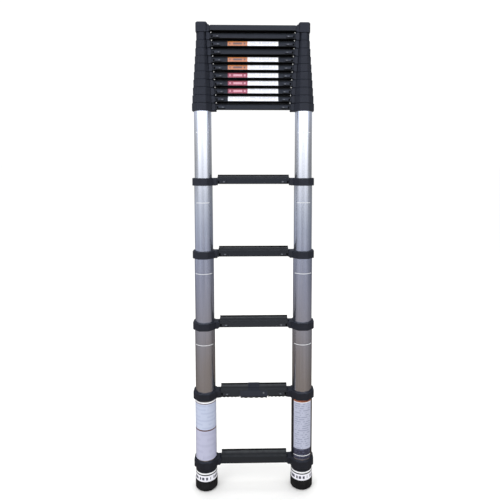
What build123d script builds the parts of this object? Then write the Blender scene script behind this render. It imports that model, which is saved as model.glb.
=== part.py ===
from build123d import *
import os

os.makedirs("parts", exist_ok=True)

# A telescoping ladder, 16 rungs on 15 pairs of nested tubes, standing on its feet.
# X runs across the ladder, -Y is the climber's side, Z is up, and the origin is on
# the floor between the feet. Sections 2 to 5 stand drawn out, 6 to 15 are stacked.

# how many, and how they stand
section_count = 15
drawn_out = 5                 # the sections up to this one stand at the full pitch
rung_pitch = 300.0            # between rungs that are drawn out
stack_gap = 0.6               # between stacked collars, or stacked rungs if those are deeper
base_rung_height = 115.0      # centre of the lowest rung, above the floor
stile_spacing = 410.0         # between the axes of the left and right tubes

# tubes
bottom_tube_diameter = 88.0
tube_wall = 1.4
tube_gap = 0.8                # radial gap between one tube and the next inside it
tube_overlap = 60.0           # how far a drawn-out tube reaches below the rung under it
tube_top = 12.0               # end of a tube above the centre of its rung
tube_bottom_gap = 8.0         # end of the lowest tubes above the floor, in the feet

# slide bushes in the bottom ends of the moving tubes
bush_depth = 18.0
bush_wall = 3.0
bush_flange = 3.0
bush_flange_proud = 0.3

# collars
collar_wall = 6.0
collar_height = 30.4
collar_corner = 10.0
collar_corner_share = 0.4     # the most of a collar's half width that a corner takes
collar_lip_gap = 0.6          # between a collar's lip and the tube that slides in it
collar_edge = 1.2
cap_top = 24.5                # top of the end caps above the centre of the top rung
cap_over = 3.8                # how far the caps stand out past the wall of a collar
cap_edge = 5.0

# arms between collar and rung
arm_reach = 14.0              # from the collar's flat to the end of the rung
arm_taper = 6.0
arm_tip_top = 10.0
arm_tip_bottom = 9.5
arm_front = 19.0
arm_rear = 23.0
arm_edge = 2.0
plug_length = 24.0
plug_front = 6.0              # the plug stays behind the latch

# rung section, as points (y, z) from the centre of the rung: the tread leans back up
rung_rear = 28.5
rung_rear_top = 25.5
tread_front = 2.5
tread_front_height = 17.2
face_top = (-8.0, 13.8)
face_bottom = (-18.0, -8.0)
rung_bottom = -9.0
rung_toe = -16.5
rung_heel = 8.0
rung_rear_bottom = -0.5
rung_wall = 2.2
rung_corner = 1.2
groove_count = 6
groove_width = 1.6
groove_depth = 0.8

# latches: a thumb slide with its lock pin, in each end of a rung
pin_diameter = 7.0
pin_clearance = 0.5
latch_travel = 6.0
pin_reach = 0.4               # tip of an engaged pin past the tube wall it locks
slide_start = 10.0            # from the end of the rung to the slide, drawn back
slide_length = 26.0
slide_block_rear = 3.5
slide_block_low = -6.0
slide_block_top = 6.0
slide_block_gap = 0.8         # between the slide and the inside of the rung's face
pad_low = 2.0                 # the thumb pad along the rung's face, from its bottom edge
pad_high = 12.5
pad_proud = 3.0
pad_root = 0.6                # how far the pad's foot runs into the slide
pad_foot_step = 2.5           # the pad's foot is narrower, to clear the rung's bottom wall
pad_corner = 1.0
slot_clearance = 0.6
slot_through = 1.0            # how far the slot is cut past the inside of the face

# scalloped skirts under the first rung, from its arms to the housing of the grip
skirt_gap = 3.0               # between a skirt and the housing
skirt_depth = 6.0
skirt_front_step = 1.0        # the skirt's front, behind the toe of the rung
skirt_scallops = 5
scallop_radius = 12.0
scallop_depth = 2.4

# release grip under the middle of the first rung
grip_length = 112.0
grip_depth = 10.5             # below the rung
grip_fingers = 5
grip_corner = 3.0
grip_front_step = 3.0         # the grip's front, behind the toe of the rung
grip_top_gap = 1.6            # between the grip and the rung above it
finger_radius = 15.0
finger_depth = 2.2
housing_length = 116.0
housing_wall = 3.0
housing_face_top = 21.0       # up the rung's face, from its bottom edge
housing_face_low = -2.0
housing_rear_drop = 2.0       # the rear lip ends below the edge of the tread
thumb_rest_length = 48.0
thumb_rest_front = 7.0        # where the thumb rest begins on the tread
thumb_rest_nose = 1.6         # its height above the tread, in front and at the rear
thumb_rest_rear = 3.4
grip_clearance = 0.6

# feet and the sleeves above them
foot_wall = 3.0
foot_height = 43.0
foot_neck_wall = 1.2
foot_neck_height = 75.0
foot_edge = 5.0
tread_notch_width = 5.0
tread_notch_depth = 4.0
tread_notch_pitch = 17.0
sleeve_bottom = 82.0
sleeve_wall = 1.2

cut_past = 1.0                # how far a cut starts outside the surface it opens

half_spacing = stile_spacing / 2
radius_step = tube_wall + tube_gap
first_height = base_rung_height + rung_pitch
tread_slope = (rung_rear_top - tread_front_height) / (rung_rear - tread_front)
rung_depth = tread_front_height + tread_slope * (rung_heel - tread_front) - rung_bottom
stack_pitch = max(collar_height, rung_depth) + stack_gap
sides = (-1, 1)


def rung_height(section):
    """Height of the rung that a section carries, as the ladder stands."""
    lifted = min(section, drawn_out) - 1
    stacked = max(section - drawn_out, 0)
    return first_height + lifted * rung_pitch + stacked * stack_pitch


def tube_radius(section):
    return bottom_tube_diameter / 2 - (section - 1) * radius_step


def rung_half_length(section):
    return half_spacing - tube_radius(section) - collar_wall - arm_reach


def on_side(shape, side):
    """Turn a shape made on the right of the ladder to the side asked for."""
    return shape if side > 0 else mirror(shape, about=Plane.YZ)


def upright(radius, bottom, top, x=half_spacing):
    """A round bar on a stile's axis."""
    return Pos(x, 0, bottom) * Cylinder(
        radius, top - bottom, align=(Align.CENTER, Align.CENTER, Align.MIN)
    )


def across(radius, start, end, height):
    """A round bar along X at a rung's height."""
    bar = Cylinder(radius, end - start, align=(Align.CENTER, Align.CENTER, Align.MIN))
    return Pos(start, 0, height) * Rot(0, 90, 0) * bar


def block(x, y, z):
    """A box from its limits along X, Y and Z."""
    middle = Pos((x[0] + x[1]) / 2, (y[0] + y[1]) / 2, (z[0] + z[1]) / 2)
    return middle * Box(x[1] - x[0], y[1] - y[0], z[1] - z[0])


def run(points, start, end, height, corner=0.0):
    """A bar along X whose section is a list of points (y, z)."""
    face = make_face(Polyline(*[(start, y, z + height) for y, z in points], close=True))
    body = extrude(face, amount=end - start, dir=(1, 0, 0))
    return fillet(body.edges().filter_by(Axis.X), corner) if corner else body


def tube(section, side):
    """One stile tube with its pin hole and the lock holes of the section below."""
    radius = tube_radius(section)
    height = rung_height(section)
    bottom = tube_bottom_gap if section == 1 else height - rung_pitch - tube_overlap
    x = half_spacing
    body = upright(radius, bottom, height + tube_top)
    body -= upright(radius - tube_wall, bottom, height + tube_top)
    holes = []
    if section < section_count:
        holes.append(height)
    if section > 1:
        holes += [height - stack_pitch, height - rung_pitch]
    for hole in holes:
        body -= across(pin_diameter / 2 + pin_clearance, x - radius - cut_past, x, hole)
    return on_side(body, side)


def bush(section, side):
    """The slide bush pressed into the bottom end of a moving tube."""
    radius = tube_radius(section)
    bottom = rung_height(section) - rung_pitch - tube_overlap
    bore = radius - tube_wall
    body = upright(bore, bottom, bottom + bush_depth)
    body += upright(radius + bush_flange_proud, bottom - bush_flange, bottom)
    body -= upright(bore - bush_wall, bottom - bush_flange, bottom + bush_depth)
    return on_side(body, side)


def octagon(flat_radius, bottom, top):
    """An eight-sided bar with rounded corners on a stile's axis."""
    outline = RegularPolygon(flat_radius, 8, major_radius=False, rotation=22.5)
    outline = fillet(outline.vertices(), min(collar_corner, flat_radius * collar_corner_share))
    return Pos(half_spacing, 0, bottom) * extrude(outline, top - bottom)


def arm(section, height):
    """The tapered arm from a collar to the end of its rung, and the plug in it."""
    end = rung_half_length(section)
    root = half_spacing - tube_radius(section) - collar_wall / 2
    half = collar_height / 2
    points = [
        (root, -half), (end + arm_taper, -half), (end, -arm_tip_bottom),
        (end, arm_tip_top), (end + arm_taper, half), (root, half),
    ]
    face = make_face(Polyline(*[(x, -arm_front, z + height) for x, z in points], close=True))
    body = extrude(face, amount=arm_front + arm_rear, dir=(0, 1, 0))
    body = chamfer(body.faces().sort_by(Axis.Y)[0].edges(), arm_edge)
    body = chamfer(body.faces().sort_by(Axis.Y)[-1].edges(), arm_edge)
    body += block(
        (end, end + arm_taper), (plug_front, arm_rear - arm_edge), (height - half, height + half)
    )
    plug = run(inner_section(), end - plug_length, end, height)
    body += plug & block(
        (end - plug_length, end), (plug_front, rung_rear), (height + rung_bottom, height + rung_rear_top)
    )
    return body


def collar(section, height, side, carries_tube):
    """A moulded collar on the top of a tube, with the arm that holds the rung."""
    radius = tube_radius(section)
    half = collar_height / 2
    body = octagon(radius + collar_wall, height - half, height + half)
    body = chamfer(body.faces().group_by(Axis.Z)[-1].edges(), collar_edge)
    body = chamfer(body.faces().group_by(Axis.Z)[0].edges(), collar_edge)
    body += arm(section, height)
    if section == 1 and carries_tube:
        body += skirt(section, height)
    if carries_tube:
        body -= upright(radius, height - half, height + tube_top)
        inside = tube_radius(section + 1) + collar_lip_gap
        body -= upright(inside, height + tube_top, height + half)
        body -= across(pin_diameter / 2 + pin_clearance, 0, half_spacing, height)
    else:
        sleeve = upright(radius + sleeve_wall, sleeve_bottom, height - half)
        body += sleeve
        body -= upright(radius, sleeve_bottom, height + half)
    return on_side(body, side)


def skirt(section, height):
    """The scalloped skirt from an arm's foot inward, against the bottom of the rung."""
    near = housing_length / 2 + skirt_gap
    end = rung_half_length(section)
    low = height + rung_bottom - skirt_depth
    body = block(
        (near, end + arm_taper), (rung_toe + skirt_front_step, rung_heel),
        (low, height + rung_bottom),
    )
    pitch = (end - near) / skirt_scallops
    for number in range(skirt_scallops):
        x = near + pitch * (number + 0.5)
        scallop = Rot(90, 0, 0) * Cylinder(scallop_radius, 2 * rung_rear)
        body -= Pos(x, 0, low - scallop_radius + scallop_depth) * scallop
    return body


def end_cap(side):
    """The closed cap that covers the top of the last tube and holds the top rung."""
    height = rung_height(section_count)
    half = collar_height / 2
    x = half_spacing
    reach = tube_radius(section_count) + collar_wall + cap_over
    body = block((x - reach, x + reach), (-reach, reach), (height - half, height + cap_top))
    body = chamfer(body.edges().filter_by(Axis.Z), cap_edge)
    body = chamfer(body.faces().group_by(Axis.Z)[-1].edges(), cap_edge)
    body += arm(section_count, height)
    body -= upright(tube_radius(section_count), height - half, height + tube_top)
    return on_side(body, side)


def rung_points(inset=0.0):
    """The rung's outline; the inset one is the hollow inside it."""
    outline = [
        (rung_rear, rung_rear_top), (tread_front, tread_front_height), face_top,
        face_bottom, (rung_toe, rung_bottom), (rung_heel, rung_bottom),
        (rung_rear, rung_rear_bottom),
    ]
    if not inset:
        return outline
    face = make_face(Polyline(*[(0, y, z) for y, z in outline], close=True))
    smaller = offset(face, -inset, kind=Kind.INTERSECTION)
    loop = smaller.faces()[0].outer_wire().order_edges()
    return [((edge @ 0).Y, (edge @ 0).Z) for edge in loop]


def inner_section():
    return rung_points(rung_wall)


def face_frame(distance, depth):
    """A point on the rung's front face, up from its bottom edge and out of the face."""
    (y0, z0), (y1, z1) = face_bottom, face_top
    length = ((y1 - y0) ** 2 + (z1 - z0) ** 2) ** 0.5
    up = ((y1 - y0) / length, (z1 - z0) / length)
    out = (-up[1], up[0])
    return (
        y0 + up[0] * distance + out[0] * depth,
        z0 + up[1] * distance + out[1] * depth,
    )


def inside_face(z):
    """How far forward the slide may reach at a height, behind the rung's face."""
    (y0, z0), (y1, z1) = face_bottom, face_top
    length = ((y1 - y0) ** 2 + (z1 - z0) ** 2) ** 0.5
    slope = (y1 - y0) / (z1 - z0)
    return y0 + slope * (z - z0) + (rung_wall + slide_block_gap) * length / (z1 - z0)


def pad_points(low, high, inside, outside):
    """The section of the thumb pad, or of the slot that it slides in."""
    return [
        face_frame(low + pad_foot_step, -inside), face_frame(low, outside),
        face_frame(high, outside), face_frame(high, -inside),
    ]


def tread_height(y):
    """The top of the rung at a place on the tread."""
    return tread_front_height + tread_slope * (y - tread_front)


def slide_limits(section):
    """The near and far end of a latch's slide along X, drawn back."""
    end = rung_half_length(section) - slide_start
    return end - slide_length, end


def rung(section, height, latched=True):
    """The hollow ribbed rung, with a slot for each thumb pad."""
    half = rung_half_length(section)
    body = run(rung_points(), -half, half, height, rung_corner)
    body -= run(inner_section(), -half, half, height)
    for number in range(groove_count):
        middle = tread_front + (rung_rear - tread_front) * (number + 0.5) / groove_count
        front, rear = middle - groove_width / 2, middle + groove_width / 2
        groove = [
            (front, tread_height(front) + cut_past), (rear, tread_height(rear) + cut_past),
            (rear, tread_height(rear) - groove_depth), (front, tread_height(front) - groove_depth),
        ]
        body -= run(groove, -half, half, height)
    if latched:
        near, far = slide_limits(section)
        slot = run(
            pad_points(
                pad_low - slot_clearance, pad_high + slot_clearance,
                rung_wall + slot_through, pad_proud,
            ),
            near - slot_clearance, far + latch_travel + slot_clearance, height,
        )
        body -= slot
        body -= mirror(slot, about=Plane.YZ)
    return body


def latch(section, side):
    """A thumb slide inside the rung, its pad outside and the lock pin, as one piece."""
    height = rung_height(section)
    near, far = slide_limits(section)
    inner_wall = half_spacing - tube_radius(section + 1) + tube_wall
    tip = inner_wall + pin_reach - latch_travel
    root = rung_wall + slide_block_gap + pad_root
    body = run(pad_points(pad_low, pad_high, root, pad_proud), near, far, height)
    body = fillet(body.edges().group_by(Axis.Y)[0], pad_corner)
    front_low = inside_face(slide_block_low)
    front_top = inside_face(slide_block_top)
    slide_block = [
        (front_low, slide_block_low), (front_top, slide_block_top),
        (slide_block_rear, slide_block_top), (slide_block_rear, slide_block_low),
    ]
    body += run(slide_block, near, far, height)
    body += across(pin_diameter / 2, near, tip, height)
    return on_side(body, side)


def housing():
    """The housing of the release grip, clipped round the middle of the first rung."""
    height = first_height
    half = housing_length / 2
    outer = [
        (rung_rear + housing_wall, rung_rear_top - housing_rear_drop), (rung_rear, rung_rear_top),
        (rung_rear, rung_rear_bottom), (rung_heel, rung_bottom), (rung_toe, rung_bottom),
        face_bottom, face_top,
        face_frame(housing_face_top, housing_wall), face_frame(housing_face_low, housing_wall),
        (rung_toe, rung_bottom - housing_wall), (rung_heel, rung_bottom - housing_wall),
        (rung_rear + housing_wall, rung_rear_bottom - housing_wall),
    ]
    body = run(outer, -half, half, height)
    grip_slot = block(
        (-grip_length / 2 - grip_clearance, grip_length / 2 + grip_clearance),
        (rung_toe + grip_front_step - grip_clearance, rung_heel + grip_clearance),
        (height - collar_height, height + rung_bottom),
    )
    body -= grip_slot
    nose = thumb_rest_front + thumb_rest_nose
    rest = [
        (rung_rear, rung_rear_top), (thumb_rest_front, tread_height(thumb_rest_front)),
        (nose, tread_height(nose) + thumb_rest_nose), (rung_rear, rung_rear_top + thumb_rest_rear),
    ]
    return body, run(rest, -thumb_rest_length / 2, thumb_rest_length / 2, height)


def release_grip():
    """The finger grip that draws back both latches of the first rung."""
    height = first_height
    top = height + rung_bottom - grip_top_gap
    low = height + rung_bottom - grip_depth
    body = block(
        (-grip_length / 2, grip_length / 2), (rung_toe + grip_front_step, rung_heel), (low, top)
    )
    body = fillet(body.edges().filter_by(Axis.Y), grip_corner)
    pitch = grip_length / grip_fingers
    for number in range(grip_fingers):
        x = -grip_length / 2 + pitch * (number + 0.5)
        finger = Rot(90, 0, 0) * Cylinder(finger_radius, 2 * rung_rear)
        body -= Pos(x, 0, low - finger_radius + finger_depth) * finger
    return body


def foot(side):
    """A rubber foot: a cup round the lowest tube, with a notched sole."""
    x = half_spacing
    inside = bottom_tube_diameter / 2
    radius = inside + foot_wall
    body = upright(radius, 0, foot_height)
    body = chamfer(body.edges().group_by(Axis.Z)[0], foot_edge)
    body += upright(inside + foot_neck_wall, foot_height, foot_neck_height)
    body -= upright(inside, tube_bottom_gap, foot_neck_height)
    count = int(radius / tread_notch_pitch)
    for number in range(-count, count + 1):
        middle = x + number * tread_notch_pitch
        body -= block(
            (middle - tread_notch_width / 2, middle + tread_notch_width / 2),
            (-radius, radius),
            (0, tread_notch_depth),
        )
    return on_side(body, side)


def solids(*shapes):
    """Every solid of the shapes, side by side in one compound."""
    return Compound(children=[s for shape in shapes for s in shape.solids()])


def save(name, *shapes):
    export_step(solids(*shapes), f"parts/{name}.step")


def section_parts(section):
    """The tubes, the step and the latches of one section."""
    height = rung_height(section)
    tubes = [tube(section, side) for side in sides]
    if section > 1:
        tubes += [bush(section, side) for side in sides]
    save(f"stile_tubes_{section:02d}", *tubes)

    if section == section_count:
        step = [rung(section, height, latched=False)] + [end_cap(side) for side in sides]
    else:
        step = [rung(section, height)]
        step += [collar(section, height, side, True) for side in sides]
        save(f"latch_left_{section:02d}", latch(section, -1))
        save(f"latch_right_{section:02d}", latch(section, 1))
    if section == 1:
        step += [rung(1, base_rung_height, latched=False)]
        step += [collar(1, base_rung_height, side, False) for side in sides]
        step += list(housing())
    save(f"steps_{section:02d}", *step)


for section in range(1, section_count + 1):
    section_parts(section)
save("release_grip", release_grip())
save("rubber_feet", *[foot(side) for side in sides])
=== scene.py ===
import math
import bpy
import bmesh
from mathutils import Matrix, Vector


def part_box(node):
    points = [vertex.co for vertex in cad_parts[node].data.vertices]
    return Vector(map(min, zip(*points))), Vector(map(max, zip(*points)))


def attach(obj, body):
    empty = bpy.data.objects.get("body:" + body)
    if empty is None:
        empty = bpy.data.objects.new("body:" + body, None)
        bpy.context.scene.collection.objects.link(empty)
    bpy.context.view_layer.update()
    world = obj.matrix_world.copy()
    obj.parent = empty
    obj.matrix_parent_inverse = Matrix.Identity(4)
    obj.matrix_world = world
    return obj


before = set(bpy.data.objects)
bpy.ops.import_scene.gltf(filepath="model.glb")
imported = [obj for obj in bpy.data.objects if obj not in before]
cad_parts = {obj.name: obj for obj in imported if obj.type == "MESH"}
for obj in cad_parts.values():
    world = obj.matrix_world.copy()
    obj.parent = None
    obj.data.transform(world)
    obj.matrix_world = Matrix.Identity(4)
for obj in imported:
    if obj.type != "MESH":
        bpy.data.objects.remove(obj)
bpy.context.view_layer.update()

perMetre = 1000               # millimetres in a metre: a pattern's scale is this over its size

# metres throughout, in the ladder's own frame
ladder = {
    "sections": 15,
    "drawnOut": 5,            # sections 2 to this one stand drawn out, the others are stacked
    "tubeTop": 0.012,         # end of a tube above the centre of its rung
    "bushProud": 0.0003,      # flange of a slide bush, outside its tube
    "armAndCollar": 0.020,    # from the side of a tube to the end of its rung
    "baseRung": 0.115,        # centre of the lowest rung
    "filmGap": 0.00004,       # under a printed film or a plate, so that it lies on and not in
    "smoothBelow": 35,        # degrees between faces that shade as one
}
rungFace = {"lowY": -0.018, "lowZ": -0.008, "topY": -0.008, "topZ": 0.0138}
rungTread = {"frontY": 0.0025, "frontZ": 0.0172, "rearY": 0.0285, "rearZ": 0.0255}
sides = {"left": -1, "right": 1}


def tubeBox(section):
    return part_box(f"stile_tubes_{section:02d}")


def tubeRadius(section):
    return tubeBox(section)[1].y - (ladder["bushProud"] if section > 1 else 0)


def rungHeight(section):
    return tubeBox(section)[1].z - ladder["tubeTop"]


stileX = tubeBox(1)[1].x - tubeBox(1)[1].y


def rungEnd(section):
    return stileX - tubeRadius(section) - ladder["armAndCollar"]


def linear(hexColour):
    parts = [int(hexColour[i:i + 2], 16) / 255 for i in (1, 3, 5)]
    return tuple(c / 12.92 if c <= 0.04045 else ((c + 0.055) / 1.055) ** 2.4 for c in parts) + (1,)


def addNode(tree, kind, settings=None, links=None):
    node = tree.nodes.new(kind)
    for name, value in (settings or {}).items():
        if isinstance(name, int) or name in node.inputs:
            node.inputs[name].default_value = value
        else:
            setattr(node, name, value)
    for name, source in (links or {}).items():
        tree.links.new(source, node.inputs[name])
    return node


def newMaterial(name, settings):
    material = bpy.data.materials.new(name)
    material.use_nodes = True
    tree = material.node_tree
    shader = tree.nodes["Principled BSDF"]
    for socket, value in settings.items():
        shader.inputs[socket].default_value = value
    return material, tree, shader


# anodised aluminium, drawn and satin etched: a soft highlight stretched along the tube,
# with faint die lines and the rub marks of the collar that slides over it
anodised = {
    "colour": "#CBCDD2",
    "dieLineColour": "#BFC2C9",
    "dieLineWidth": 1.2,      # mm, coarser than the real 0.2 mm so that it shows
    "dieLineLength": 400.0,
    "smudgeSize": 45.0,
    "lineSpread": (0.35, 0.65),
    "roughSpread": (0.75, 1.25),    # of the lines and smudges added together
    "roughness": (0.19, 0.27),
    "bumpHeight": 0.0000012,
}


def makeAnodised():
    material, tree, shader = newMaterial("anodisedAluminium", {"Metallic": 1.0})
    across, along = perMetre / anodised["dieLineWidth"], perMetre / anodised["dieLineLength"]
    place = addNode(tree, "ShaderNodeTexCoord").outputs["Object"]
    stretched = addNode(
        tree, "ShaderNodeMapping", {"Scale": (across, across, along)}, {"Vector": place}
    ).outputs[0]
    lines = addNode(
        tree, "ShaderNodeTexNoise", {"Scale": 1.0, "Detail": 3.0}, {"Vector": stretched}
    ).outputs["Fac"]
    smudges = addNode(
        tree, "ShaderNodeTexNoise",
        {"Scale": perMetre / anodised["smudgeSize"], "Detail": 4.0}, {"Vector": place},
    ).outputs["Fac"]
    tone = addNode(
        tree, "ShaderNodeMapRange",
        {"From Min": anodised["lineSpread"][0], "From Max": anodised["lineSpread"][1]},
        {"Value": lines},
    ).outputs[0]
    colour = addNode(
        tree, "ShaderNodeMix",
        {"data_type": "RGBA", 6: linear(anodised["dieLineColour"]), 7: linear(anodised["colour"])},
        {0: tone},
    ).outputs[2]
    both = addNode(
        tree, "ShaderNodeMath", {"operation": "ADD"}, {0: lines, 1: smudges}
    ).outputs[0]
    rough = addNode(
        tree, "ShaderNodeMapRange",
        {"From Min": anodised["roughSpread"][0], "From Max": anodised["roughSpread"][1],
         "To Min": anodised["roughness"][0], "To Max": anodised["roughness"][1]},
        {"Value": both},
    ).outputs[0]
    bump = addNode(
        tree, "ShaderNodeBump", {"Distance": anodised["bumpHeight"]}, {"Height": lines}
    ).outputs[0]
    tree.links.new(colour, shader.inputs["Base Color"])
    tree.links.new(rough, shader.inputs["Roughness"])
    tree.links.new(bump, shader.inputs["Normal"])
    return material


# the steps: collars of glass-filled nylon with a moulded spark texture, and rungs of
# extruded aluminium under a black powder coat, a little smoother, with lines along them
stepLook = {
    "nylon": "#13151C",
    "nylonWorn": "#1B1E27",
    "coat": "#0E1012",
    # lighter grey of the treads: a painted highlight of light falling from above, varied by dust
    "treadTopLightAndDust": "#4A4C4E",
    "grainSize": 0.9,         # mm, coarser than the real spark texture so that it shows
    "lineWidth": 1.4,
    "lineLength": 180.0,
    "dustSize": 22.0,
    "treadToneFrom": 0.007,        # behind the front edge of the tread, where the painted top light and the dust begin; feet wear the dust off in front
    "treadToneTo": 0.016,
    "treadToneInFront": 0.2,       # what is left of the painted top light and the dust there
    "dustSpread": (0.3, 0.7),
    "dustLeast": 0.6,
    "treadFacing": (0.8, 0.95),     # how far up a face looks, from a wall to a tread
    "unevenGloss": 0.14,
    "specular": 0.25,
    "nylonRoughness": 0.44,
    "coatRoughness": 0.34,
    "bumpHeight": 0.00003,
    "housingHalf": 0.058,     # the release housing on the first rung is nylon too
    "thumbRestHalf": 0.024,
    "housingAbove": 0.3,      # and the base rung, below this height, has none
}


def addHousingMask(tree, place, outward, upward, onCollar):
    # the housing is wide on the rung's front, and only the thumb rest lies on the tread
    half = addNode(
        tree, "ShaderNodeMapRange",
        {"To Min": stepLook["housingHalf"], "To Max": stepLook["thumbRestHalf"]},
        {"Value": upward},
    ).outputs[0]
    near = addNode(
        tree, "ShaderNodeMath", {"operation": "LESS_THAN"}, {0: outward, 1: half}
    ).outputs[0]
    height = addNode(tree, "ShaderNodeSeparateXYZ", links={0: place}).outputs["Z"]
    above = addNode(
        tree, "ShaderNodeMath", {"operation": "GREATER_THAN", 1: stepLook["housingAbove"]},
        {0: height},
    ).outputs[0]
    housed = addNode(
        tree, "ShaderNodeMath", {"operation": "MULTIPLY"}, {0: near, 1: above}
    ).outputs[0]
    return addNode(
        tree, "ShaderNodeMath", {"operation": "MAXIMUM"}, {0: housed, 1: onCollar}
    ).outputs[0]


def makeStep(section):
    material, tree, shader = newMaterial(
        f"nylonAndPowderCoat{section:02d}",
        {"IOR": 1.5, "Specular IOR Level": stepLook["specular"]},
    )
    place = addNode(tree, "ShaderNodeTexCoord").outputs["Object"]
    grain = addNode(
        tree, "ShaderNodeTexNoise",
        {"Scale": perMetre / stepLook["grainSize"], "Detail": 2.0}, {"Vector": place},
    ).outputs["Fac"]
    across, along = perMetre / stepLook["lineWidth"], perMetre / stepLook["lineLength"]
    stretched = addNode(
        tree, "ShaderNodeMapping", {"Scale": (along, across, across)}, {"Vector": place}
    ).outputs[0]
    lines = addNode(
        tree, "ShaderNodeTexNoise", {"Scale": 1.0, "Detail": 2.0}, {"Vector": stretched}
    ).outputs["Fac"]
    dust = addNode(
        tree, "ShaderNodeTexNoise",
        {"Scale": perMetre / stepLook["dustSize"], "Detail": 5.0}, {"Vector": place},
    ).outputs["Fac"]
    split = addNode(tree, "ShaderNodeSeparateXYZ", links={0: place})
    outward = addNode(
        tree, "ShaderNodeMath", {"operation": "ABSOLUTE"}, {0: split.outputs["X"]}
    ).outputs[0]
    onCollar = addNode(
        tree, "ShaderNodeMath", {"operation": "GREATER_THAN", 1: rungEnd(section)}, {0: outward}
    ).outputs[0]
    normal = addNode(tree, "ShaderNodeNewGeometry").outputs["Normal"]
    facing = addNode(tree, "ShaderNodeSeparateXYZ", links={0: normal}).outputs["Z"]
    upward = addNode(
        tree, "ShaderNodeMapRange",
        {"From Min": stepLook["treadFacing"][0], "From Max": stepLook["treadFacing"][1]},
        {"Value": facing},
    ).outputs[0]
    if section == 1:
        onCollar = addHousingMask(tree, place, outward, upward, onCollar)
    trodden = addNode(
        tree, "ShaderNodeMapRange",
        {"From Min": stepLook["dustSpread"][0], "From Max": stepLook["dustSpread"][1],
         "To Min": stepLook["dustLeast"]},
        {"Value": dust},
    ).outputs[0]
    behind = addNode(
        tree, "ShaderNodeMapRange",
        {"From Min": stepLook["treadToneFrom"], "From Max": stepLook["treadToneTo"],
         "To Min": stepLook["treadToneInFront"]},
        {"Value": split.outputs["Y"]},
    ).outputs[0]
    lightAndDustSpread = addNode(
        tree, "ShaderNodeMath", {"operation": "MULTIPLY"}, {0: behind, 1: trodden}
    ).outputs[0]
    # upward faces, the treads, get the painted top light, spread by dust noise and fading towards
    # the front edge
    topLightAndDust = addNode(
        tree, "ShaderNodeMath", {"operation": "MULTIPLY"}, {0: upward, 1: lightAndDustSpread}
    ).outputs[0]
    coat = addNode(
        tree, "ShaderNodeMix",
        {"data_type": "RGBA", 6: linear(stepLook["coat"]), 7: linear(stepLook["treadTopLightAndDust"])},
        {0: topLightAndDust},
    ).outputs[2]
    nylon = addNode(
        tree, "ShaderNodeMix",
        {"data_type": "RGBA", 6: linear(stepLook["nylon"]), 7: linear(stepLook["nylonWorn"])},
        {0: trodden},
    ).outputs[2]
    colour = addNode(
        tree, "ShaderNodeMix", {"data_type": "RGBA"}, {0: onCollar, 6: coat, 7: nylon}
    ).outputs[2]
    texture = addNode(
        tree, "ShaderNodeMix", {"data_type": "FLOAT"}, {0: onCollar, 2: lines, 3: grain}
    ).outputs[0]
    rough = addNode(
        tree, "ShaderNodeMapRange",
        {"To Min": stepLook["coatRoughness"], "To Max": stepLook["nylonRoughness"]},
        {"Value": onCollar},
    ).outputs[0]
    uneven = addNode(
        tree, "ShaderNodeMath", {"operation": "MULTIPLY_ADD", 1: stepLook["unevenGloss"]},
        {0: dust, 2: rough},
    ).outputs[0]
    bump = addNode(
        tree, "ShaderNodeBump", {"Distance": stepLook["bumpHeight"]}, {"Height": texture}
    ).outputs[0]
    tree.links.new(colour, shader.inputs["Base Color"])
    tree.links.new(uneven, shader.inputs["Roughness"])
    tree.links.new(bump, shader.inputs["Normal"])
    return material


# plain mouldings and rubber: one colour worn to a second, with a grain
mouldings = {
    "nylonLatch": {          # glass-filled nylon, moulded smooth where the thumb goes
        "colour": "#0C0D10", "worn": "#15171A", "roughness": (0.32, 0.44),
        "grain": 0.8, "wear": 14.0, "height": 0.00003, "specular": 0.3,
    },
    "footRubber": {          # black rubber, dull, with a scuffed grey bloom
        "colour": "#0E0E0F", "worn": "#1C1C1D", "roughness": (0.6, 0.78),
        "grain": 1.6, "wear": 18.0, "height": 0.00012, "specular": 0.25,
    },
    "treadEdgeBlack": {           # near-black matt strip along the rear edge of each tread
        "colour": "#050506", "worn": "#0A0A0B", "roughness": (0.7, 0.85),
        "grain": 1.0, "wear": 30.0, "height": 0.00004, "specular": 0.08,
    },
    "tipHighlightAndPivotGrey": {           # grey painted as a highlight on the black tips of the thumb pads, and the grey of the grip pivot
        "colour": "#54565A", "worn": "#45474A", "roughness": (0.3, 0.4),
        "grain": 0.7, "wear": 6.0, "height": 0.00002, "specular": 0.4,
    },
    "whiteNylon": {          # white nylon ring above each foot, moulded and glossy
        "colour": "#F4F5F7", "worn": "#DFE1E5", "roughness": (0.2, 0.32),
        "grain": 1.0, "wear": 8.0, "height": 0.00001, "specular": 0.5,
    },
    "markLacquer": {         # off-white lacquer line, rubbed by the collar
        "colour": "#DCDEE2", "worn": "#C2C5CA", "roughness": (0.35, 0.5),
        "grain": 1.2, "wear": 9.0, "height": 0.00001, "specular": 0.4,
    },
}

wearSpread = {"colour": (0.4, 0.7), "roughness": (0.3, 0.7)}


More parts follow.
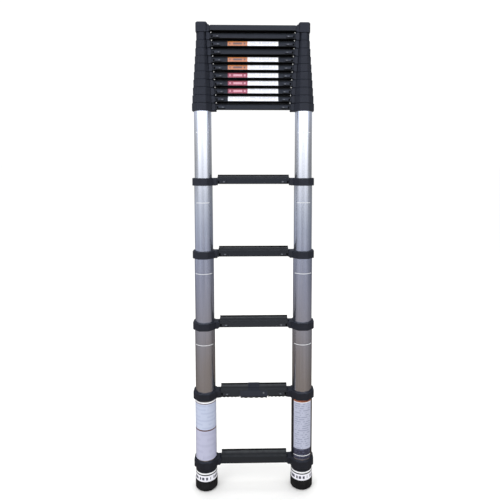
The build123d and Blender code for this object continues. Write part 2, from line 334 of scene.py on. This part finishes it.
def makeMoulding(name):
    look = mouldings[name]
    material, tree, shader = newMaterial(
        name, {"IOR": 1.5, "Specular IOR Level": look["specular"]}
    )
    place = addNode(tree, "ShaderNodeTexCoord").outputs["Object"]
    grain = addNode(
        tree, "ShaderNodeTexNoise",
        {"Scale": perMetre / look["grain"], "Detail": 2.0}, {"Vector": place},
    ).outputs["Fac"]
    wear = addNode(
        tree, "ShaderNodeTexNoise",
        {"Scale": perMetre / look["wear"], "Detail": 5.0}, {"Vector": place},
    ).outputs["Fac"]
    worn = addNode(
        tree, "ShaderNodeMapRange",
        {"From Min": wearSpread["colour"][0], "From Max": wearSpread["colour"][1]},
        {"Value": wear},
    ).outputs[0]
    colour = addNode(
        tree, "ShaderNodeMix",
        {"data_type": "RGBA", 6: linear(look["colour"]), 7: linear(look["worn"])}, {0: worn},
    ).outputs[2]
    rough = addNode(
        tree, "ShaderNodeMapRange",
        {"From Min": wearSpread["roughness"][0], "From Max": wearSpread["roughness"][1],
         "To Min": look["roughness"][0], "To Max": look["roughness"][1]},
        {"Value": wear},
    ).outputs[0]
    bump = addNode(
        tree, "ShaderNodeBump", {"Distance": look["height"]}, {"Height": grain}
    ).outputs[0]
    tree.links.new(colour, shader.inputs["Base Color"])
    tree.links.new(rough, shader.inputs["Roughness"])
    tree.links.new(bump, shader.inputs["Normal"])
    return material


# zinc-plated steel of the rivets, dulled, with fine scratches
steel = {"colour": "#777A7F", "roughness": (0.34, 0.5), "scratch": 3.0}


def makeSteel():
    material, tree, shader = newMaterial(
        "zincPlatedSteel", {"Metallic": 1.0, "Base Color": linear(steel["colour"])}
    )
    place = addNode(tree, "ShaderNodeTexCoord").outputs["Object"]
    scratches = addNode(
        tree, "ShaderNodeTexNoise",
        {"Scale": perMetre / steel["scratch"], "Detail": 6.0}, {"Vector": place},
    ).outputs["Fac"]
    rough = addNode(
        tree, "ShaderNodeMapRange",
        {"To Min": steel["roughness"][0], "To Max": steel["roughness"][1]}, {"Value": scratches},
    ).outputs[0]
    tree.links.new(rough, shader.inputs["Roughness"])
    return material


# printed vinyl film: glossy, with rows of grey bars where a real one carries its text
films = {
    "filmWhite": {"colour": "#EEF0F4", "print": "#C6C9D0", "rows": 3.0, "words": 9.0},
    "filmBlank": {"colour": "#EEF0F4", "print": "#DDE0E8", "rows": 1.0, "words": 1.0},
    "filmBlue": {"colour": "#B4BCD2", "print": "#A9B2CB", "rows": 7.0, "words": 2.0},
    "filmLavender": {"colour": "#AFB1C8", "print": "#A9ABC3", "rows": 5.0, "words": 2.0},
    "filmPictures": {"colour": "#ADB1C4", "print": "#8F94AA", "rows": 21.0, "words": 5.0},
    "filmOrange": {"colour": "#B56C2E", "print": "#5E3818", "rows": 1.0, "words": 3.0},
    "filmRed": {"colour": "#8F2231", "print": "#D3959E", "rows": 1.0, "words": 3.0},
    "filmBrown": {"colour": "#9A5636", "print": "#7A4230", "rows": 1.0, "words": 2.0},
    "filmRust": {"colour": "#55332F", "print": "#4A2C2A", "rows": 1.0, "words": 2.0},
    "filmDark": {"colour": "#2A2C40", "print": "#474B62", "rows": 3.0, "words": 4.0},
    "filmNight": {"colour": "#101119", "print": "#15161F", "rows": 1.0, "words": 1.0},
    "filmBand": {"colour": "#E6E6EE", "print": "#4A4C5A", "rows": 1.0, "words": 21.0},
}

filmPrint = {
    "roughness": 0.3,
    "coat": 0.3,
    "rowHalf": 0.22,          # half a bar's height, as a share of its row
    "marginHalf": 0.42,       # half the width that carries print, as a share of the film
    "wordScale": 1.7,
    "wordFrom": 0.47,         # the noise above this is a bar, and below it a space
    "wordSlice": 0.37,        # where the noise is cut
}


def makeFilm(name):
    look = films[name]
    material, tree, shader = newMaterial(
        name, {"Roughness": filmPrint["roughness"], "Coat Weight": filmPrint["coat"]}
    )
    uv = addNode(tree, "ShaderNodeTexCoord").outputs["UV"]
    split = addNode(tree, "ShaderNodeSeparateXYZ", links={0: uv})
    rows = addNode(
        tree, "ShaderNodeMath", {"operation": "MULTIPLY", 1: look["rows"]},
        {0: split.outputs["Y"]},
    ).outputs[0]
    inRow = addNode(tree, "ShaderNodeMath", {"operation": "FRACT"}, {0: rows}).outputs[0]
    fromMiddle = addNode(
        tree, "ShaderNodeMath", {"operation": "COMPARE", 1: 0.5, 2: filmPrint["rowHalf"]},
        {0: inRow},
    ).outputs[0]
    rowNumber = addNode(tree, "ShaderNodeMath", {"operation": "FLOOR"}, {0: rows}).outputs[0]
    along = addNode(
        tree, "ShaderNodeMath", {"operation": "MULTIPLY", 1: look["words"]},
        {0: split.outputs["X"]},
    ).outputs[0]
    spot = addNode(
        tree, "ShaderNodeCombineXYZ", {"Z": filmPrint["wordSlice"]},
        {"X": along, "Y": rowNumber},
    ).outputs[0]
    words = addNode(
        tree, "ShaderNodeTexNoise",
        {"Scale": filmPrint["wordScale"], "Detail": 1.0}, {"Vector": spot},
    ).outputs["Fac"]
    word = addNode(
        tree, "ShaderNodeMath", {"operation": "GREATER_THAN", 1: filmPrint["wordFrom"]},
        {0: words},
    ).outputs[0]
    inside = addNode(
        tree, "ShaderNodeMath", {"operation": "COMPARE", 1: 0.5, 2: filmPrint["marginHalf"]},
        {0: split.outputs["X"]},
    ).outputs[0]
    bars = addNode(
        tree, "ShaderNodeMath", {"operation": "MULTIPLY"}, {0: fromMiddle, 1: word}
    ).outputs[0]
    printed = addNode(
        tree, "ShaderNodeMath", {"operation": "MULTIPLY"}, {0: bars, 1: inside}
    ).outputs[0]
    colour = addNode(
        tree, "ShaderNodeMix",
        {"data_type": "RGBA", 6: linear(look["colour"]), 7: linear(look["print"])},
        {0: printed},
    ).outputs[2]
    tree.links.new(colour, shader.inputs["Base Color"])
    return material


finish = {name: makeMoulding(name) for name in mouldings}
finish.update({name: makeFilm(name) for name in films})
finish["anodised"] = makeAnodised()
finish["steel"] = makeSteel()


def dress(node, material):
    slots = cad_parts[node].data.materials
    slots.clear()
    slots.append(material)


for section in range(1, ladder["sections"] + 1):
    dress(f"stile_tubes_{section:02d}", finish["anodised"])
    dress(f"steps_{section:02d}", makeStep(section))
    for side in sides:
        if section < ladder["sections"]:
            dress(f"latch_{side}_{section:02d}", finish["nylonLatch"])
dress("release_grip", finish["nylonLatch"])
dress("rubber_feet", finish["footRubber"])
print("finishes on the CAD parts: done")


def finishPiece(name, shape, body, slotName, *materials):
    for face in shape.faces:
        face.smooth = True
    sharpFrom = math.radians(ladder["smoothBelow"])
    for edge in shape.edges:
        edge.smooth = len(edge.link_faces) == 2 and edge.calc_face_angle() < sharpFrom
    mesh = bpy.data.meshes.new(name)
    shape.to_mesh(mesh)
    shape.free()
    for material in materials:
        mesh.materials.append(material)
    piece = bpy.data.objects.new(name, mesh)
    bpy.context.scene.collection.objects.link(piece)
    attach(piece, body)


def faceFrame(height):
    # X along the rung, Y up its front face from the bottom edge, Z out of the face
    up = Vector((
        0, rungFace["topY"] - rungFace["lowY"], rungFace["topZ"] - rungFace["lowZ"]
    )).normalized()
    along = Vector((1, 0, 0))
    axes = Matrix((along, up, along.cross(up))).transposed().to_4x4()
    return Matrix.Translation((0, rungFace["lowY"], height + rungFace["lowZ"])) @ axes


def treadFrame(height):
    # X along the rung, Y back up the tread from its front edge, Z out of the tread
    back = Vector((
        0, rungTread["rearY"] - rungTread["frontY"], rungTread["rearZ"] - rungTread["frontZ"]
    )).normalized()
    along = Vector((1, 0, 0))
    axes = Matrix((along, back, along.cross(back))).transposed().to_4x4()
    return Matrix.Translation((0, rungTread["frontY"], height + rungTread["frontZ"])) @ axes


def addPlate(shape, onto, x, y, z, edge, index=0):
    middle = Vector(((x[0] + x[1]) / 2, (y[0] + y[1]) / 2, (z[0] + z[1]) / 2))
    size = Matrix.Diagonal((x[1] - x[0], y[1] - y[0], z[1] - z[0], 1))
    made = bmesh.ops.create_cube(shape, size=1, matrix=onto @ Matrix.Translation(middle) @ size)
    faces = {face for vert in made["verts"] for face in vert.link_faces}
    layer = shape.loops.layers.uv.verify()
    back = onto.inverted()
    for face in faces:
        face.material_index = index
        for loop in face.loops:
            spot = back @ loop.vert.co
            loop[layer].uv = ((spot.x - x[0]) / (x[1] - x[0]), (spot.y - y[0]) / (y[1] - y[0]))
    if edge:
        edges = {line for face in faces for line in face.edges}
        bmesh.ops.bevel(
            shape, geom=list(edges), offset=edge, affect="EDGES", segments=2, profile=0.5,
            material=-1,
        )


def addWrap(shape, side, radius, z, angles, thick, index=0, steps=32):
    # a film or band round a stile, from one angle to the other: 0 is the front
    layer = shape.loops.layers.uv.verify()
    axis = Vector((side * stileX, 0, 0))
    start = Matrix.Rotation(math.radians(angles[0]), 4, "Z") @ Vector((0, -radius, 0)) + axis
    low = shape.verts.new((start.x, start.y, z[0]))
    high = shape.verts.new((start.x, start.y, z[1]))
    line = shape.edges.new((low, high))
    known = set(shape.faces)
    whole = angles[1] - angles[0] >= 360
    bmesh.ops.spin(
        shape, geom=[low, high, line], cent=axis, axis=(0, 0, 1),
        angle=math.radians(angles[1] - angles[0]), steps=steps, use_merge=whole,
    )
    faces = [face for face in shape.faces if face not in known]
    for face in faces:
        middle = face.calc_center_median() - axis
        if face.normal.dot(Vector((middle.x, middle.y, 0))) < 0:
            face.normal_flip()
        centre = math.degrees(math.atan2(middle.x, -middle.y))
        for loop in face.loops:
            spot = loop.vert.co - axis
            angle = math.degrees(math.atan2(spot.x, -spot.y))
            if angle - centre > 180:
                angle -= 360
            if centre - angle > 180:
                angle += 360
            loop[layer].uv = (
                (angle - angles[0]) / (angles[1] - angles[0]), (spot.z - z[0]) / (z[1] - z[0])
            )
        face.material_index = index
    made = bmesh.ops.extrude_face_region(shape, geom=faces, use_keep_orig=True)
    outer = {v for v in made["geom"] if isinstance(v, bmesh.types.BMVert)}
    for vert in outer:
        away = Vector((vert.co.x - axis.x, vert.co.y, 0)).normalized()
        vert.co += away * thick
    for face in faces:
        face.normal_flip()
    fresh = [face for face in shape.faces if face not in known]
    for face in fresh:
        face.material_index = index
    bmesh.ops.recalc_face_normals(shape, faces=fresh)


# printed strips on the fronts of the stacked rungs: a coloured head and a white field
stripLabel = {
    "heads": {13: "filmOrange", 11: "filmOrange", 10: "filmOrange", 9: "filmRed", 8: "filmRed",
              7: "filmRed", 6: "filmWhite"},
    "halfWidth": 0.101,
    "headEnd": -0.022,
    "low": 0.0016,
    "high": 0.0224,
    "thick": 0.00018,
}

for section, head in stripLabel["heads"].items():
    shape = bmesh.new()
    onto = faceFrame(rungHeight(section))
    y = (stripLabel["low"], stripLabel["high"])
    z = (ladder["filmGap"], stripLabel["thick"])
    addPlate(shape, onto, (-stripLabel["halfWidth"], stripLabel["headEnd"]), y, z, 0, 0)
    addPlate(shape, onto, (stripLabel["headEnd"], stripLabel["halfWidth"]), y, z, 0, 1)
    finishPiece(
        f"rung_label_{section:02d}", shape, f"section_{section:02d}", "label_white",
        finish[head], finish["filmWhite"],
    )
print("rung labels: done")

# the two films on the lowest tubes, each built from bands one above the other
tubeLabels = {
    "left": {
        "angles": (-82, 82),
        "bands": [
            (0.1380, 0.2670, "filmLavender"), (0.2670, 0.2725, "filmRust"),
            (0.2725, 0.3850, "filmBlue"), (0.3850, 0.3880, "filmRust"),
            (0.3880, 0.3940, "filmBlank"),
        ],
    },
    "right": {
        "angles": (-54, 54),
        "bands": [
            (0.1380, 0.1520, "filmDark"), (0.1520, 0.1545, "filmBlank"),
            (0.1545, 0.1830, "filmDark"), (0.1830, 0.3865, "filmPictures"),
            (0.3865, 0.3890, "filmBlank"), (0.3890, 0.3985, "filmBrown"),
        ],
        "edges": [(-96, -54), (54, 96)],
    },
    "thick": 0.0002,
}

for side in sides:
    label = tubeLabels[side]
    shape = bmesh.new()
    used = []
    for low, high, film in label["bands"]:
        used.append(finish[film])
        addWrap(
            shape, sides[side], tubeRadius(1) + ladder["filmGap"], (low, high), label["angles"],
            tubeLabels["thick"], len(used) - 1,
        )
    # the dark backing of the right film shows as a strip beside it
    for angles in label.get("edges", []):
        used.append(finish["filmNight"])
        addWrap(
            shape, sides[side], tubeRadius(1) + ladder["filmGap"],
            (label["bands"][0][0], label["bands"][-1][1]), angles, tubeLabels["thick"],
            len(used) - 1,
        )
    finishPiece(f"tube_label_{side}", shape, "section_01", "label_white", *used)
print("tube labels: done")

# the line across each drawn-out tube
markLine = {
    "below": {2: 0.079, 3: 0.079, 4: 0.086, 5: 0.102},
    "height": 0.0024,
    "halfAngle": {2: 58, 3: 58, 4: 45, 5: 45},
    "thick": 0.00012,
}

for section in range(2, ladder["drawnOut"] + 1):
    for side in sides:
        shape = bmesh.new()
        low = rungHeight(section) - markLine["below"][section]
        addWrap(
            shape, sides[side], tubeRadius(section) + ladder["filmGap"],
            (low, low + markLine["height"]),
            (-markLine["halfAngle"][section], markLine["halfAngle"][section]), markLine["thick"],
        )
        finishPiece(
            f"mark_line_{side}_{section:02d}", shape, f"section_{section:02d}", "label_white",
            finish["markLacquer"],
        )
print("mark lines: done")

# above each foot: a bright ring on the tube, and a white band round the neck of the rubber
footTrim = {
    "neckRadius": 0.0452,
    "bandLow": 0.0440,
    "bandHigh": 0.0705,
    "bandThick": 0.0006,
    "ringLow": 0.0754,
    "ringHigh": 0.0816,
    "ringThick": 0.0012,
    "steps": 64,
}

for side in sides:
    shape = bmesh.new()
    addWrap(
        shape, sides[side], footTrim["neckRadius"] + ladder["filmGap"],
        (footTrim["bandLow"], footTrim["bandHigh"]), (-180, 180), footTrim["bandThick"], 0,
        footTrim["steps"],
    )
    finishPiece(f"foot_band_{side}", shape, "section_01", "label_white", finish["filmBand"])
    shape = bmesh.new()
    addWrap(
        shape, sides[side], tubeRadius(1) + ladder["filmGap"],
        (footTrim["ringLow"], footTrim["ringHigh"]), (-180, 180), footTrim["ringThick"], 0,
        footTrim["steps"],
    )
    finishPiece(f"foot_ring_{side}", shape, "section_01", "label_white", finish["whiteNylon"])
print("foot trim: done")

# the black strip along the rear edge of every tread but the top one
treadLip = {"width": 0.0050, "height": 0.0028, "edge": 0.0006, "endGap": 0.0001}

treadDepth = math.hypot(
    rungTread["rearY"] - rungTread["frontY"], rungTread["rearZ"] - rungTread["frontZ"]
)


def addTreadLip(name, section, height):
    shape = bmesh.new()
    half = rungEnd(section) - treadLip["endGap"]
    addPlate(
        shape, treadFrame(height), (-half, half), (treadDepth - treadLip["width"], treadDepth),
        (ladder["filmGap"], treadLip["height"]), treadLip["edge"],
    )
    finishPiece(name, shape, f"section_{section:02d}", "black_nylon", finish["treadEdgeBlack"])


addTreadLip("tread_lip_base", 1, ladder["baseRung"])
for section in range(1, ladder["sections"]):
    addTreadLip(f"tread_lip_{section:02d}", section, rungHeight(section))
print("tread lips: done")

# oval tips, one on each thumb pad, grey as a painted highlight
lockTip = {"inFromPad": 0.008, "up": 0.0072, "long": 0.0042, "high": 0.0028, "thick": 0.0007,
           "padProud": 0.003, "padFromEnd": 0.036, "bevel": 0.00042, "steps": 20}

for section in range(1, ladder["sections"]):
    for side in sides:
        shape = bmesh.new()
        x = sides[side] * (rungEnd(section) - lockTip["padFromEnd"] + lockTip["inFromPad"])
        onto = faceFrame(rungHeight(section)) @ Matrix.Translation(
            (x, lockTip["up"], lockTip["padProud"])
        )
        bmesh.ops.create_circle(
            shape, cap_ends=True, radius=1, segments=lockTip["steps"],
            matrix=onto @ Matrix.Diagonal((lockTip["long"], lockTip["high"], 1, 1)),
        )
        raised = bmesh.ops.extrude_face_region(shape, geom=list(shape.faces), use_keep_orig=True)
        top = [v for v in raised["geom"] if isinstance(v, bmesh.types.BMVert)]
        out = (onto.to_3x3() @ Vector((0, 0, 1))) * lockTip["thick"]
        bmesh.ops.translate(shape, verts=top, vec=out)
        bmesh.ops.recalc_face_normals(shape, faces=list(shape.faces))
        rim = [e for e in shape.edges if all(v in top for v in e.verts)]
        bmesh.ops.bevel(
            shape, geom=rim, offset=lockTip["bevel"], affect="EDGES", segments=2, profile=0.5,
            material=-1,
        )
        finishPiece(
            f"lock_tip_{side}_{section:02d}", shape, f"latch_{side}_{section:02d}", "latch_nylon",
            finish["tipHighlightAndPivotGrey"],
        )
print("lock tips: done")

# rivets: two in the back of each arm, and the pivot on the front of the release housing
rivet = {
    "radius": 0.0034,
    "dome": 0.0011,
    "rings": [(0.72, 1.0), (0.55, 0.15), (0.55, -0.6)],   # share of the last ring, rise in domes
    "steps": 20,
    "high": 0.008,            # above and below the centre of the rung
    "armBack": 0.023,
    "fromRungEnd": 0.0125,
}
pivot = {"x": 0.041, "up": 0.0115, "radius": 0.0040, "housingProud": 0.003}


def addRivet(shape, onto, radius):
    # a domed head with a dimple, its axis along Z of the given frame
    known = set(shape.verts)
    bmesh.ops.create_circle(
        shape, cap_ends=True, radius=radius, segments=rivet["steps"], matrix=onto
    )
    out = onto.to_3x3() @ Vector((0, 0, 1))
    base = next(f for f in shape.faces if all(v not in known for v in f.verts))
    for share, domes in rivet["rings"]:
        made = bmesh.ops.extrude_face_region(shape, geom=[base])
        top = [v for v in made["geom"] if isinstance(v, bmesh.types.BMVert)]
        middle = sum((v.co for v in top), Vector()) / len(top)
        for vert in top:
            vert.co = middle + (vert.co - middle) * share + out * (domes * rivet["dome"])
        bmesh.ops.delete(shape, geom=[base], context="FACES_ONLY")
        base = next(f for f in made["geom"] if isinstance(f, bmesh.types.BMFace))
    fresh = [f for f in shape.faces if all(v not in known for v in f.verts)]
    bmesh.ops.recalc_face_normals(shape, faces=fresh)
    if base.normal.dot(out) < 0:
        bmesh.ops.reverse_faces(shape, faces=fresh)


def rearFrame(x, height):
    turn = Matrix.Rotation(math.radians(-90), 4, "X")
    return Matrix.Translation((x, rivet["armBack"], height)) @ turn


def addArmRivets(name, section, height):
    shape = bmesh.new()
    for side in sides.values():
        x = side * (rungEnd(section) + rivet["fromRungEnd"])
        for rise in (-rivet["high"], rivet["high"]):
            addRivet(shape, rearFrame(x, height + rise), rivet["radius"])
    finishPiece(name, shape, f"section_{section:02d}", "anodised_aluminium", finish["steel"])


addArmRivets("arm_rivets_base", 1, ladder["baseRung"])
for section in range(1, ladder["sections"] + 1):
    addArmRivets(f"arm_rivets_{section:02d}", section, rungHeight(section))

shape = bmesh.new()
onto = faceFrame(rungHeight(1)) @ Matrix.Translation(
    (pivot["x"], pivot["up"], pivot["housingProud"])
)
addRivet(shape, onto, pivot["radius"])
finishPiece("grip_pivot", shape, "section_01", "latch_nylon", finish["tipHighlightAndPivotGrey"])
print("rivets: done")

# a plain pale floor, and a tent and a card that only glossy surfaces see
floor = {"half": 200.0, "colour": "#FAFAF9", "speckle": "#F6F6F5", "grain": 6.0,
         "roughness": 0.6}


def makeFloor():
    material, tree, shader = newMaterial(
        "paintedFloor", {"Roughness": floor["roughness"], "Specular IOR Level": 0.0}
    )
    place = addNode(tree, "ShaderNodeTexCoord").outputs["Object"]
    speckle = addNode(
        tree, "ShaderNodeTexNoise",
        {"Scale": perMetre / floor["grain"], "Detail": 3.0}, {"Vector": place},
    ).outputs["Fac"]
    colour = addNode(
        tree, "ShaderNodeMix",
        {"data_type": "RGBA", 6: linear(floor["colour"]), 7: linear(floor["speckle"])},
        {0: speckle},
    ).outputs[2]
    tree.links.new(colour, shader.inputs["Base Color"])
    shape = bmesh.new()
    bmesh.ops.create_grid(shape, x_segments=1, y_segments=1, size=floor["half"])
    stagePiece("floor", shape, material)


# the tent's light goes by height times the way round: each stop is a place, a strength and
# a tint, and the way round is in degrees, from 0 at the front of the ladder
tent = {
    "radius": 3.4,
    "height": 9.0,
    "steps": 72,
    "byHeight": [(0.0, 0.53, "#E2E4FF"), (0.49, 0.76, "#E2E8FF"), (0.84, 0.94, "#E6EEFF"),
                 (1.29, 1.5, "#FBFCFF"), (1.7, 2.2, "#FFFFFF"), (2.2, 4.0, "#DDE6FF"),
                 (2.9, 1.6, "#F4F6FF"), (3.6, 0.8, "#F4F6FF"), (4.6, 0.5, "#F4F6FF"),
                 (6.2, 4.8, "#CFDCFF"), (9.0, 5.2, "#CFDCFF")],
    "lowSweep": [(-180, 0.45, "#FFFFFF"), (-128, 0.55, "#FFFFFF"), (-106, 1.0, "#FFFFFF"),
                 (-74, 0.82, "#FFFFFF"), (-40, 1.05, "#FFFFFF"), (-5, 0.72, "#FFFFFF"),
                 (28, 0.96, "#FFFFFF"), (60, 0.66, "#FFFFFF"), (89, 0.5, "#FFFFFF"),
                 (128, 0.34, "#FFFFFF"), (180, 0.4, "#FFFFFF")],
    "highSweep": [(-180, 0.22, "#FFFFFF"), (-128, 0.25, "#FFFFFF"), (-100, 0.34, "#FFFFFF"),
                  (-74, 0.4, "#FFFFFF"), (-58, 0.95, "#FFFFFF"), (-35, 1.0, "#FFFFFF"),
                  (-5, 0.78, "#FFFFFF"), (30, 1.0, "#FFFFFF"), (54, 0.9, "#FFFFFF"),
                  (66, 0.36, "#FFFFFF"), (89, 0.2, "#FFFFFF"), (180, 0.22, "#FFFFFF")],
    "sweepChange": (0.95, 1.2),     # heights between which the low sweep becomes the high one
}
# the floor card glows for glossy surfaces only: a painted reflection of the floor, dim and warm
# near the ladder, brighter and bluish further out
floorCard = {
    "reach": 3.4,
    "level": 0.003,
    "byReach": [(0.0, 0.25, "#FFEBDC"), (1.1, 0.37, "#FFEBDC"), (2.0, 0.47, "#F6F0F6"),
                (3.4, 0.62, "#E8E8FF")],
    "sweep": [(-180, 0.3, "#FFFFFF"), (-128, 0.5, "#FFFFFF"), (-89, 0.85, "#FFFFFF"),
              (-50, 1.0, "#FFFFFF"), (0, 1.0, "#FFFFFF"), (40, 0.98, "#FFFFFF"),
              (70, 0.8, "#FFFFFF"), (95, 0.62, "#FFFFFF"), (128, 0.45, "#FFFFFF"),
              (180, 0.3, "#FFFFFF")],
}


def fillRamp(ramp, stops, low, high):
    # the ramp holds shares of its strongest stop, which is returned
    top = max(value for _, value, _ in stops)
    points = ramp.color_ramp.elements
    while len(points) < len(stops):
        points.new(0.5)
    for point, (place, value, tint) in zip(points, stops):
        point.position = (place - low) / (high - low)
        point.color = tuple(part * value / top for part in linear(tint)[:3]) + (1,)
    return top


def stagePiece(name, shape, material):
    mesh = bpy.data.meshes.new(name)
    shape.to_mesh(mesh)
    shape.free()
    mesh.materials.append(material)
    piece = bpy.data.objects.new(name, mesh)
    bpy.context.scene.collection.objects.link(piece)
    return piece


def onlyForGloss(piece):
    piece.visible_camera = False
    piece.visible_diffuse = False
    piece.visible_shadow = False


def makeGlow(name, stops, sweeps, change, measure):
    # light by the way round, times light by height or by distance along the floor; the way
    # round goes from the first sweep to the second between two heights
    material = bpy.data.materials.new(name)
    material.use_nodes = True
    tree = material.node_tree
    tree.nodes.clear()
    place = addNode(tree, "ShaderNodeTexCoord").outputs["Object"]
    split = addNode(tree, "ShaderNodeSeparateXYZ", links={0: place})
    forward = addNode(
        tree, "ShaderNodeMath", {"operation": "MULTIPLY", 1: -1.0}, {0: split.outputs["Y"]}
    ).outputs[0]
    angle = addNode(
        tree, "ShaderNodeMath", {"operation": "ARCTAN2"}, {0: split.outputs["X"], 1: forward}
    ).outputs[0]
    turn = addNode(
        tree, "ShaderNodeMapRange", {"From Min": -math.pi, "From Max": math.pi}, {"Value": angle}
    ).outputs[0]
    away = addNode(tree, "ShaderNodeVectorMath", {"operation": "LENGTH"}, {0: place})
    along = {"height": split.outputs["Z"], "reach": away.outputs["Value"]}[measure]
    last = stops[-1][0]
    share = addNode(
        tree, "ShaderNodeMapRange", {"From Max": last}, {"Value": along}
    ).outputs[0]
    ramps = [addNode(tree, "ShaderNodeValToRGB", links={0: turn}) for _ in sweeps]
    tops = [fillRamp(ramp, sweep, -180, 180) for ramp, sweep in zip(ramps, sweeps)]
    raised = addNode(
        tree, "ShaderNodeMapRange", {"From Min": change[0], "From Max": change[1]},
        {"Value": along},
    ).outputs[0]
    around = addNode(
        tree, "ShaderNodeMix", {"data_type": "RGBA"},
        {0: raised, 6: ramps[0].outputs[0], 7: ramps[-1].outputs[0]},
    ).outputs[2]
    outward = addNode(tree, "ShaderNodeValToRGB", links={0: share})
    top = max(tops) * fillRamp(outward, stops, 0, last)
    both = addNode(
        tree, "ShaderNodeVectorMath", {"operation": "MULTIPLY"},
        {0: around, 1: outward.outputs[0]},
    ).outputs[0]
    glow = addNode(tree, "ShaderNodeEmission", {"Strength": top}, {"Color": both}).outputs[0]
    addNode(tree, "ShaderNodeOutputMaterial", links={0: glow})
    return material


def makeTent():
    shape = bmesh.new()
    low = shape.verts.new((0, tent["radius"], 0))
    high = shape.verts.new((0, tent["radius"], tent["height"]))
    line = shape.edges.new((low, high))
    bmesh.ops.spin(
        shape, geom=[low, high, line], cent=(0, 0, 0), axis=(0, 0, 1), angle=math.tau,
        steps=tent["steps"], use_merge=True,
    )
    sweeps = (tent["lowSweep"], tent["highSweep"])
    material = makeGlow("lightTent", tent["byHeight"], sweeps, tent["sweepChange"], "height")
    onlyForGloss(stagePiece("lightTent", shape, material))


def makeFloorCard():
    shape = bmesh.new()
    bmesh.ops.create_circle(
        shape, cap_ends=True, radius=floorCard["reach"], segments=tent["steps"],
        matrix=Matrix.Translation((0, 0, floorCard["level"])),
    )
    material = makeGlow(
        "floorCard", floorCard["byReach"], (floorCard["sweep"],), (0, floorCard["reach"]), "reach"
    )
    onlyForGloss(stagePiece("floorCard", shape, material))


makeFloor()
makeTent()
makeFloorCard()

lights = {
    "keyLeft": {"place": (-2.2, -2.4, 2.6), "aim": (0, 0, 1.0), "size": (1.6, 1.6), "watts": 30},
    "top": {"place": (0.0, 0.4, 4.0), "aim": (0, 0, 0), "size": (2.4, 2.4), "watts": 35},
}

for name, look in lights.items():
    lamp = bpy.data.lights.new(name, "AREA")
    lamp.shape = "RECTANGLE"
    lamp.size, lamp.size_y = look["size"]
    lamp.energy = look["watts"]
    holder = bpy.data.objects.new(name, lamp)
    bpy.context.scene.collection.objects.link(holder)
    holder.location = look["place"]
    toward = Vector(look["aim"]) - Vector(look["place"])
    holder.rotation_euler = toward.to_track_quat("-Z", "Y").to_euler()
    holder.visible_glossy = False

daylight = {"colour": "#FFFFFF", "strength": 1.08}

studio = bpy.data.worlds.new("studio")
studio.use_nodes = True
background = studio.node_tree.nodes["Background"]
background.inputs["Color"].default_value = linear(daylight["colour"])
background.inputs["Strength"].default_value = daylight["strength"]
bpy.context.scene.world = studio
bpy.context.scene.view_settings.view_transform = "Standard"

view = {
    "place": (0.0137, -1.888, 1.397),
    "pitch": 85.26,           # degrees up from straight down
    "turn": -1.289,
    "lens": 33.02,
    "shiftX": -0.034,
    "shiftY": -0.1007,
}
lens = bpy.data.cameras.new("camera")
lens.lens = view["lens"]
lens.shift_x, lens.shift_y = view["shiftX"], view["shiftY"]
camera = bpy.data.objects.new("camera", lens)
bpy.context.scene.collection.objects.link(camera)
camera.location = view["place"]
camera.rotation_euler = (math.radians(view["pitch"]), 0, math.radians(view["turn"]))
bpy.context.scene.camera = camera
print("stage, lights and camera: done")
